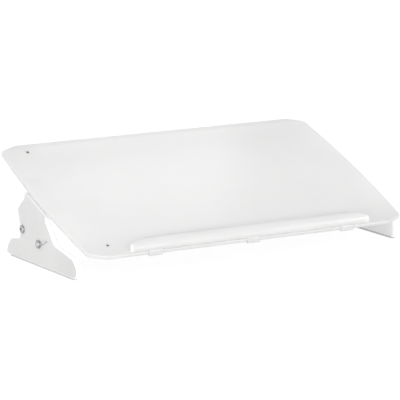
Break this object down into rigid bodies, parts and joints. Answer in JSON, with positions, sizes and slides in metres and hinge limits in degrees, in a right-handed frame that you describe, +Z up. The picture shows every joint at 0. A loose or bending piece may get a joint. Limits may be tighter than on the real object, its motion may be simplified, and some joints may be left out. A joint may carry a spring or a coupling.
{
  "type": "document holder with drawer",
  "caption": "Sloping desktop document holder: opal acrylic top with bowed sides, clear curled ledge, shaped side legs with clamp levers, and a shallow drawer under the top.",
  "frame": {"origin": "middle of the bounding box at the level of the desk", "axes": "+X to the right of the person who reads at it, +Y away from that person, +Z up"},
  "size_m": [0.5334, 0.2696, 0.1426],
  "materials": {
    "opal_acrylic": "opal white sheet, satin faces, polished edges",
    "leg_acrylic": "frosted sheet, satin faces, polished edges",
    "clear_acrylic": "clear, faintly hazed, polished edges",
    "bracket_plastic": "moulded, fine grain",
    "drawer_plastic": "moulded, fine grain",
    "runner_plastic": "slick low-friction strip",
    "lever_steel": "plated steel, brighter on the blade",
    "bolt_steel": "plated steel, darker round the rim",
    "dark_steel": "blackened steel",
    "zinc_steel": "zinc plated",
    "magnet": "nickel plated",
    "fibre_washer": "pressed fibre",
    "rubber": "light grey, soft, matt"
  },
  "bodies": {
    "base": {"leg_left": "leg_acrylic", "leg_right": "leg_acrylic", "foot_strip_left": "rubber", "foot_strip_right": "rubber", "pivot_bolts": "bolt_steel", "pivot_nuts": "zinc_steel", "clamp_bolts": "zinc_steel", "friction_washers": "fibre_washer"},
    "top": {"panel": "opal_acrylic", "arm_left": "bracket_plastic", "arm_right": "bracket_plastic", "arm_screws": "zinc_steel", "rail_left": "bracket_plastic", "rail_right": "bracket_plastic", "rail_screws": "dark_steel", "stop_pins": "zinc_steel", "rear_bar": "bracket_plastic", "catch_magnets": "magnet", "ledge": "clear_acrylic", "ledge_clips": "clear_acrylic"},
    "drawer": {"drawer_tray": "drawer_plastic", "pen_divider": "drawer_plastic", "runner_left": "runner_plastic", "runner_right": "runner_plastic", "catch_plates": "zinc_steel"},
    "clamp_lever_left": {"lever_left": "lever_steel"},
    "clamp_lever_right": {"lever_right": "lever_steel"}
  },
  "joints": [
    {"name": "top_tilt", "type": "hinge", "parent": "base", "child": "top", "pos_m": [0, 0.04207, 0.0442], "axis": [-1, 0, 0], "range_deg": [0, 12]},
    {"name": "drawer_slide", "type": "slide", "parent": "top", "child": "drawer", "axis": [0, -0.9259, -0.3778], "range_m": [0, 0.06]},
    {"name": "lever_left_turn", "type": "hinge", "parent": "base", "child": "clamp_lever_left", "pos_m": [-0.2645, -0.00453, 0.0317], "axis": [-1, 0, 0], "range_deg": [0, 80]},
    {"name": "lever_right_turn", "type": "hinge", "parent": "base", "child": "clamp_lever_right", "pos_m": [0.2645, -0.00453, 0.0317], "axis": [-1, 0, 0], "range_deg": [0, 80]}
  ]
}
